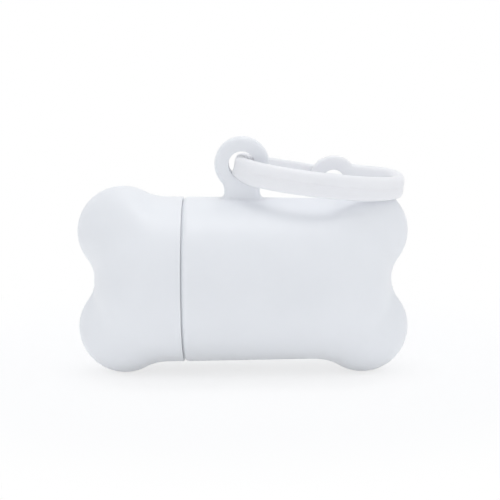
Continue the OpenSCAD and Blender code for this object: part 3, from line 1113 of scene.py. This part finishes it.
@dataclass
class RingForm:
    """The snap ring's middle line and sizes, in its own frame: u along it, v across, w up."""

    lug_z: float
    length: float = 41.8
    front_bow: float = 12.7
    back_bow: float = 12.2
    thickness: float = 3.0
    above: float = 2.05
    below: float = 4.4
    edge: float = 1.1
    crown: float = 1.45
    droop: float = 7.22736
    lean: float = 1.5
    lug_half: float = 2.1
    lug_gap: float = 0.25
    front_skew: float = 0.03
    far_fullness: float = 3.2
    bar_width: float = 3.6
    bar_below: float = 2.8
    eyelet_u: float = 24.1
    eyelet_r: float = 6.3
    eyelet_hole_r: float = 2.8
    eyelet_drop: float = 3.2
    eyelet_thickness: float = 2.6
    arm_thickness: float = 1.8
    arm_gap: float = 0.2
    arm_past: float = 1.2
    stud_r: float = 1.2
    stud_length: float = 1.7
    root_side: float = 0.1
    root_back: float = 3.85
    voxel: float = 0.17

    def __post_init__(self) -> None:
        """Work out what follows from the driving sizes."""
        self.half = (self.length - self.thickness / 2) / 2
        self.start = self.lug_half + self.lug_gap
        self.front_reach = self.front_bow - self.thickness / 2
        self.back_reach = self.back_bow - self.thickness / 2
        self.root = (self.bar_width / 2 + self.root_side, self.start + self.root_back)
        self.root_r = self.thickness / 2
        self.arm_v = self.back_reach + self.eyelet_thickness / 2 + self.arm_gap + self.arm_thickness / 2
        self.arm_tip = self.eyelet_u + self.stud_r + self.arm_past
        self.to_object = (
            Matrix.Translation((0, 0, self.lug_z * MM))
            @ Matrix.Rotation(math.radians(self.lean), 4, "X")
            @ Matrix.Rotation(math.radians(self.droop), 4, "Y")
        )

    def oval(self, turn: float) -> np.ndarray:
        """Middle line of the ring, which is fuller in its far back corner.

        Args:
            turn: degrees round it: the bar at 0, the front at 90, the far end at 180.

        Returns:
            The point [u, v].
        """
        s, c = math.sin(math.radians(turn)), math.cos(math.radians(turn))
        if turn < 180:
            return np.array([self.half * (1 - c), -self.front_reach * s * (1 - self.front_skew * c)])
        power = 2 / self.far_fullness if turn < 270 else 1.0
        far = math.copysign(abs(c) ** power, c)
        return np.array([self.half * (1 - far), self.back_reach * abs(s) ** power])

    def outward(self, turn: float) -> float:
        """Direction in degrees that points out of the ring there."""
        d = self.oval(turn + 0.5) - self.oval(turn - 0.5)
        return math.degrees(math.atan2(-d[0], d[1]))

    @staticmethod
    def band(name: str, stations: list[Station]) -> bpy.types.Object:
        """Sweep a section along stations.

        Args:
            name: the object's name.
            stations: its cross-sections.

        Returns:
            The closed solid, in the ring's own frame.
        """
        loft = Loft(len(stations[0].section()))
        rings = []
        for station in stations:
            across, up = station.section().T
            c, s = math.cos(math.radians(station.facing)), math.sin(math.radians(station.facing))
            rings.append(loft.add(np.stack([station.u + across * c, station.v + across * s, up], 1)))
        loft.chain(rings)
        loft.close(rings[0], rings[-1])
        return loft.mesh(name)

    @staticmethod
    def disc(
        name: str, centre: tuple[float, float, float], r: float, thickness: float, edge: float,
        floor: float = -math.inf, rim: float = 0.0,
    ) -> bpy.types.Object:
        """Make a disc across v with rounded edges.

        Args:
            name: the object's name.
            centre: its middle, in the ring's own frame.
            r: its radius.
            thickness: its thickness along v.
            edge: the radius that rounds its edges.
            floor: depth at which it is cut off flat, from its middle.
            rim: radius of the rim that stays below that depth.

        Returns:
            The closed solid.
        """
        angles = 2 * math.pi * np.arange(144) / 144
        rise = np.sin(angles)
        reach = np.where(rise * r < floor, np.maximum(floor / np.minimum(rise, -1e-6), rim), r)
        reach = np.minimum(reach, r)[:, None]
        around = np.stack([np.cos(angles), rise], 1)
        made = plate(name, lambda pull: (reach - pull) * around, thickness, edge)
        made.data.transform(Matrix.Translation(Vector(centre) * MM))
        return made


@dataclass
class SnapRing:
    """The moulded ring through the lug, with its cross bar and eyelet."""

    form: RingForm
    stations: int = 220
    knob_gain: float = 1.0
    knob_out: float = 0.5
    knob_turn: float = 30.0
    slim_by: float = 0.5
    slim_start: float = 215.0
    slim_turn: float = 40.0
    far_lift: float = 0.7
    far_focus: float = 12.0
    band_stop: float = 272.0
    stub_gain: float = 0.6
    stub_turn: float = 35.0
    bar_past: float = 1.0
    bar_sink: float = 0.1
    bar_edge: float = 1.3
    eyelet_edge: float = 0.8
    eyelet_rim: float = 0.9
    eyelet_foot: float = 0.2
    socket_gap: float = 0.15
    socket_length: float = 12.0
    end_heights: tuple[float, ...] = (-4.4, -4.15, -3.6, -3.0, -2.6, -2.0, -1.2, -0.4, 0.6, 1.5, 2.1)
    end_shifts: tuple[float, ...] = (2.5, 1.9, 1.1, 0.21, -0.2, -0.32, -0.05, 0.17, 0.1, -0.15, -0.2)
    end_start: float = -2.05
    end_stop: float = 3.2
    line_start: float = 2.0
    line_height: float = -0.95
    line_width: float = 0.2
    line_depth: float = 0.16

    def front(self) -> bpy.types.Object:
        """Make the band from the bar past the front and the far end to the eyelet.

        Returns:
            The closed solid.
        """
        f = self.form
        first = math.degrees(math.asin(f.start / f.front_reach))
        rows = []
        for i in range(self.stations + 1):
            turn = mix(first, self.band_stop, i / self.stations)
            u, v = f.oval(turn)
            knob = 1 - float(ease((turn - first) / self.knob_turn))
            slim = self.slim_by * float(ease((turn - self.slim_start) / self.slim_turn))
            lift = self.far_lift * math.sin(math.radians(turn / 2)) ** self.far_focus
            size = (f.thickness + self.knob_gain * knob - slim, f.above - slim, slim + lift - f.below)
            facing = mix(f.outward(turn), -180, knob)
            rows.append(Station(u - self.knob_out * knob, v, facing, *size, f.edge, f.crown))
        return f.band("band", rows)

    def stub(self) -> bpy.types.Object:
        """Make the short head behind the lug, up to the arm's root.

        Returns:
            The closed solid.
        """
        f = self.form
        rows = []
        for k in np.linspace(1, 0, 16):
            u, v = mix(0, f.root[0], k * k), mix(f.start, f.root[1], k)
            facing, thickness = 180 - self.stub_turn * k, f.thickness + self.stub_gain
            rows.append(Station(u, v, facing, thickness, f.above, -f.below, f.edge, f.crown))
        return f.band("stub", rows)

    def bar(self) -> bpy.types.Object:
        """Make the cross bar through the lug's hole.

        Returns:
            The closed solid.
        """
        f = self.form
        reach, top, edge = f.start + self.bar_past, f.above - self.bar_sink, self.bar_edge
        across = np.linspace(reach, -reach, 8)
        rows = [Station(0, v, 0, f.bar_width, top, -f.bar_below, edge, edge) for v in across]
        return f.band("bar", rows)

    def shape_near_end(self, ring: bpy.types.Object) -> None:
        """Give the near end its outline: upright above, a bulge below, and a long bevel under it.

        Args:
            ring: the fused ring, in its own frame.
        """
        points, _ = read_points(ring)
        u, v, w = points.T
        shift = np.interp(w, self.end_heights, self.end_shifts)
        outside = ease((-v - self.form.lug_half) / self.form.lug_gap)
        along = np.clip((self.end_stop - u) / (self.end_stop - self.end_start), 0, 1)
        points[:, 0] += shift * outside * along
        write_points(ring, points)

    def scribe_parting_line(self, ring: bpy.types.Object) -> None:
        """Cut the fine line round the band where the two halves of the mould met.

        Args:
            ring: the fused ring, in its own frame.
        """
        points, normals = read_points(ring)
        out = points[:, :2] - np.array([self.form.half, 0])
        out /= np.linalg.norm(out, axis=1, keepdims=True)
        # Only where the surface faces well away from the ring's middle
        facing = np.clip((normals[:, :2] * out).sum(1) * 2 - 0.6, 0, 1) * (points[:, 0] > self.line_start)
        across = (points[:, 2] - self.line_height) / self.line_width
        points -= normals * (self.line_depth * np.exp(-(across**2)) * facing)[:, None]
        write_points(ring, points)

    def build(self, finish: bpy.types.Material) -> bpy.types.Object:
        """Make the ring.

        Args:
            finish: its material.

        Returns:
            The finished piece.
        """
        f = self.form
        eye = (f.eyelet_u, f.back_reach, -f.eyelet_drop)
        floor = f.eyelet_drop - f.below + self.slim_by - self.eyelet_foot
        rim = f.eyelet_hole_r + self.eyelet_rim
        eyelet = f.disc("eyelet", eye, f.eyelet_r, f.eyelet_thickness, self.eyelet_edge, floor, rim)
        ring = fuse("snap_ring_moulding", [self.front(), self.stub(), self.bar(), eyelet], f.voxel, 2)
        bore(ring, Vector(eye), Vector((0, 1, 0)), f.eyelet_hole_r, f.thickness * 3)
        bore(ring, Vector((*f.root, -1)), Vector((0, 0, 1)), f.root_r + self.socket_gap, self.socket_length)
        ring = fuse("snap_ring_moulding", [ring], f.voxel, 3)
        self.shape_near_end(ring)
        self.scribe_parting_line(ring)
        ring.data.transform(f.to_object)
        dress(ring, finish, Body.RING, Slot.RING, "snap_ring")
        return ring


@dataclass
class LatchArm:
    """The thin arm behind the lug, with the stud that snaps into the eyelet."""

    form: RingForm
    height: float = 2.4
    rise: float = 1.5
    level: float = -0.3
    curve: float = 0.6
    slim: float = 0.6
    fall: float = 0.8
    tip_start: float = 0.7
    tip_run: float = 0.09
    edge: float = 0.6
    root_slim: float = 0.2
    root_edge: float = 0.3
    stud_edge: float = 0.4

    def build(self, finish: bpy.types.Material) -> bpy.types.Object:
        """Make the arm.

        Args:
            finish: its material.

        Returns:
            The finished piece.
        """
        f = self.form
        low, high = -f.eyelet_drop - self.height / 2, -f.eyelet_drop + self.height / 2
        rows = []
        for k in np.linspace(1, 0, 90):
            left = 1 - min(k / self.curve, 1)
            u, v = mix(f.root[0], f.arm_tip, k), mix(f.arm_v, f.root[1], left * left)
            bend = (f.arm_v - f.root[1]) * 2 * left / self.curve
            facing = math.degrees(math.atan2(bend, f.arm_tip - f.root[0])) + 90
            slim = float(ease(k / self.slim))
            top = mix(self.level, self.rise, (1 - min(k / self.fall, 1)) ** 2)
            top = mix(top, high, float(ease((k - self.tip_start) / self.tip_run)))
            thickness = mix(f.thickness - self.root_slim, f.arm_thickness, slim)
            bottom = mix(-f.below, low, slim)
            rows.append(Station(u, v, facing, thickness, top, bottom, self.edge, self.edge))
        root = f.disc("root", (0, 0, 0), f.root_r, f.below + self.rise, self.root_edge)
        root.data.transform(Matrix.Rotation(math.pi / 2, 4, "X"))
        root.data.transform(Matrix.Translation(Vector((*f.root, (self.rise - f.below) / 2)) * MM))
        length = f.arm_thickness / 2 + f.arm_gap + f.stud_length
        place = (f.eyelet_u, f.arm_v - length / 2, -f.eyelet_drop)
        stud = f.disc("stud", place, f.stud_r, length, self.stud_edge)
        arm = fuse("latch_arm_moulding", [f.band("arm", rows), root, stud], f.voxel, 3)
        arm.data.transform(f.to_object)
        dress(arm, finish, Body.LATCH, Slot.RING, "latch_arm")
        return arm


@dataclass
class BagRoll:
    """The roll of bags on its paper core."""

    z: float
    d: float = 31.0
    length: float = 54.6
    core_d: float = 13.0
    core_wall: float = 1.2
    core_gap: float = 0.06
    core_edge: float = 0.15
    corner: float = 0.3
    stagger: float = 0.35
    turns: int = 128
    layers: int = 26

    def __post_init__(self) -> None:
        """Work out the angles of a ring."""
        self.angles = 2 * math.pi * np.arange(self.turns) / self.turns

    def tube(self, name: str, rows: list[tuple[float, float | np.ndarray]]) -> bpy.types.Object:
        """Turn a closed outline about the roll's axis.

        Args:
            name: the object's name.
            rows: places x and radii, once round the outline.

        Returns:
            The closed solid.
        """
        loft = Loft(self.turns)
        rings = []
        for x, r in rows:
            r = np.broadcast_to(r, self.angles.shape)
            y, z = r * np.cos(self.angles), self.z + r * np.sin(self.angles)
            rings.append(loft.add(np.stack([np.full(self.turns, x), y, z], 1)))
        loft.chain([*rings, rings[0]])
        return loft.mesh(name)

    def film(self) -> list[tuple[float, float | np.ndarray]]:
        """Outline of the wound film: uneven layer edges at both ends, and a slightly wavy outside.

        Returns:
            Places x and radii.
        """
        rng = np.random.default_rng(7)
        half, outer, inner = self.length / 2, self.d / 2, self.core_d / 2
        layer = (outer - self.corner - inner) / self.layers
        ends = []
        for end in (-1, 1):
            rows = []
            radii = np.linspace(inner, outer - self.corner, self.layers)[::-end]
            for r, step in zip(radii, rng.uniform(0, self.stagger, self.layers)):
                x = end * (half - step)
                rows += [(x, r), (x, r - end * layer * 0.45)]
            ends.append(rows)
        side = []
        for x in np.linspace(self.corner - half, half - self.corner, 60):
            wave = 0.05 * np.sin(self.angles * 5 + x * 0.8) + 0.04 * np.sin(self.angles * 11 - x * 1.7)
            side.append((x, outer - 0.12 - 0.18 * self.angles / (2 * math.pi) + wave))
        return ends[0] + side + ends[1]

    def build(self, film: bpy.types.Material, paper: bpy.types.Material) -> list[bpy.types.Object]:
        """Make the roll and its core.

        Args:
            film: the bags' material.
            paper: the core's material.

        Returns:
            Both pieces.
        """
        roll = self.tube("bag_roll_film", self.film())
        dress(roll, film, Body.ROLL, Slot.FILM, "bag_roll")
        half, edge = self.length / 2, self.core_edge
        out, bore_r = self.core_d / 2 - self.core_gap, self.core_d / 2 - self.core_wall
        right = [(half - edge, out), (half, out - edge), (half, bore_r + edge), (half - edge, bore_r)]
        core = self.tube("roll_core_tube", right + [(-x, r) for x, r in right[::-1]])
        dress(core, paper, Body.ROLL, Slot.PAPER, "roll_core")
        return [roll, core]


class Softbox(NamedTuple):
    """A square soft light: its name, place from the focus, side and power in watts."""

    name: str
    place: tuple[float, float, float]
    size: float
    power: float


@dataclass
class Studio:
    """Pale floor, soft lights and the camera at the photograph's angle."""

    focus: Vector
    distance: float = 700.0
    azimuth: float = 1.3
    elevation: float = 10.0
    roll: float = -0.5
    shift_right: float = 1.9
    shift_up: float = 7.33
    view_width: float = 128.75
    sensor: float = 36.0
    floor_reach: float = 3000.0
    floor_drop: float = 0.2
    floor_glow: float = 0.66
    floor_bounce: float = 0.078
    fade_start: float = 60.0
    fade_stop: float = 125.0
    fill: tuple[float, float] = (0.57, 0.92)
    lights: tuple[Softbox, ...] = (
        Softbox("top", (0, 0, 650), 220, 0.58),
        Softbox("back", (0, 320, 560), 300, 0.17),
        Softbox("left", (-650, -100, 200), 300, 0.03),
        Softbox("right", (650, -100, 200), 300, 0.16),
        Softbox("low_left", (-260, -260, -4), 36, 0.03),
        Softbox("low_right", (260, -260, -4), 36, 0.02),
    )

    def camera(self) -> None:
        """Place the camera, looking level with its own axis past the object's middle."""
        a, e = math.radians(self.azimuth), math.radians(self.elevation)
        back = Vector((math.sin(a) * math.cos(e), -math.cos(a) * math.cos(e), math.sin(e)))
        right = Vector((math.cos(a), math.sin(a), 0))
        up = back.cross(right)
        data = bpy.data.cameras.new("camera")
        data.sensor_width = self.sensor
        data.lens = self.sensor * self.distance / self.view_width
        data.clip_start, data.clip_end = 0.05, 20
        camera = add_object("camera", data)
        turn = Matrix.Rotation(math.radians(self.roll), 3, back)
        camera.matrix_world = (turn @ Matrix((right, up, back)).transposed()).to_4x4()
        aim = self.focus + right * self.shift_right + up * self.shift_up
        camera.location = (aim + back * self.distance) * MM
        bpy.context.scene.camera = camera

    def floor(self) -> None:
        """A wide pale floor that the camera sees as near white, with the object's shadow on it."""
        mesh = bpy.data.meshes.new("floor")
        reach = self.floor_reach * MM
        corners = [(x * reach, y * reach, 0) for x, y in ((-1, -1), (1, -1), (1, 1), (-1, 1))]
        mesh.from_pydata(corners, [], [(0, 1, 2, 3)])
        floor = add_object("floor", mesh)
        floor.location.z = -self.floor_drop * MM
        material, tree, place = new_material("seamless_paper")
        # What lights the object: bright paper that sends a little more light up than it gets
        sheet = add_node(tree, "BsdfDiffuse", {"Color": linear("FAFAFA"), "Roughness": 1.0})
        bounce = add_node(tree, "Emission", {"Color": WHITE, "Strength": self.floor_bounce})
        paper = add_node(tree, "AddShader", in0=sheet.outputs[0], in1=bounce.outputs[0])
        # What the camera sees: paper that shows the shadow near the object and fades to plain white
        thin = add_node(tree, "BsdfDiffuse", {"Color": linear("A8A8A8"), "Roughness": 1.0})
        glow = add_node(tree, "Emission", {"Color": WHITE, "Strength": self.floor_glow})
        near = add_node(tree, "AddShader", in0=thin.outputs[0], in1=glow.outputs[0])
        white = add_node(tree, "Emission", {"Color": WHITE, "Strength": 1.0})
        away = add_node(tree, "VectorMath", {"operation": "LENGTH"}, in0=place)
        fade = add_node(
            tree, "MapRange",
            {
                "interpolation_type": "SMOOTHSTEP",
                "From Min": self.fade_start * MM,
                "From Max": self.fade_stop * MM,
            },
            Value=away.outputs["Value"],
        )
        shown = add_node(tree, "MixShader", in0=fade.outputs[0], in1=near.outputs[0], in2=white.outputs[0])
        pick = add_node(tree, "MixShader", in0=direct_rays(tree), in1=paper.outputs[0], in2=shown.outputs[0])
        add_node(tree, "OutputMaterial", Surface=pick.outputs[0])
        mesh.materials.append(material)

    def sky(self) -> None:
        """White surroundings for the camera, and a soft fill for the object, brighter from above."""
        world = bpy.data.worlds.new("studio")
        bpy.context.scene.world = world
        world.use_nodes = True
        tree = world.node_tree
        tree.nodes.clear()
        up = add_node(tree, "SeparateXYZ", Vector=add_node(tree, "TexCoord").outputs["Generated"])
        low, high = self.fill
        glow = add_node(tree, "MapRange", {"To Min": low, "To Max": high}, Value=up.outputs["Z"])
        fill = add_node(tree, "Background", {"Color": linear("F4F6FA")}, Strength=glow.outputs[0])
        white = add_node(tree, "Background", {"Color": WHITE, "Strength": 1.0})
        pick = add_node(tree, "MixShader", in0=direct_rays(tree), in1=fill.outputs[0], in2=white.outputs[0])
        add_node(tree, "OutputWorld", Surface=pick.outputs[0])

    def softbox(self, box: Softbox) -> None:
        """Hang one soft light, which points at the object.

        Args:
            box: the light.
        """
        data = bpy.data.lights.new(box.name, "AREA")
        data.size = box.size * MM
        data.energy = box.power
        light = add_object(box.name, data)
        light.location = (self.focus + Vector(box.place)) * MM
        light.rotation_mode = "QUATERNION"
        light.rotation_quaternion = Vector(box.place).to_track_quat("Z", "Y")

    def build(self) -> None:
        """Set up the whole studio."""
        self.camera()
        self.floor()
        self.sky()
        for box in self.lights:
            self.softbox(box)
        bpy.context.scene.view_settings.view_transform = "Standard"


def main() -> None:
    """Build the dressed dispenser."""
    logging.basicConfig(level=logging.INFO, format="%(name)s %(message)s")
    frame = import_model()
    LOG.info("frame with %d nodes", len(frame["nodes"]))
    form, thread = BoneForm(), Thread()
    roll_low, roll_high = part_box("bag_roll")
    Studio(focus=Vector((0, 0, form.axis_z))).build()
    shell_white = MouldedPolypropylene("moulded_polypropylene_satin").build()
    ring_white = MouldedPolypropylene(
        "moulded_polypropylene_thin", colour="F5F5F9", grain_depth=0.012, scatter_weight=0.85, scatter_mm=3.5
    ).build()
    shell = MainShell(form, thread)
    shell.build(shell_white)
    CapShell(form, thread).build(shell_white)
    ring = RingForm(lug_z=form.axis_z + shell.lug.height)
    SnapRing(ring).build(ring_white)
    LatchArm(ring).build(ring_white)
    BagRoll(z=(roll_low.z + roll_high.z) / 2 / MM).build(BlownFilm().build(), WoundPaper().build())


if __name__ == "__main__":
    main()
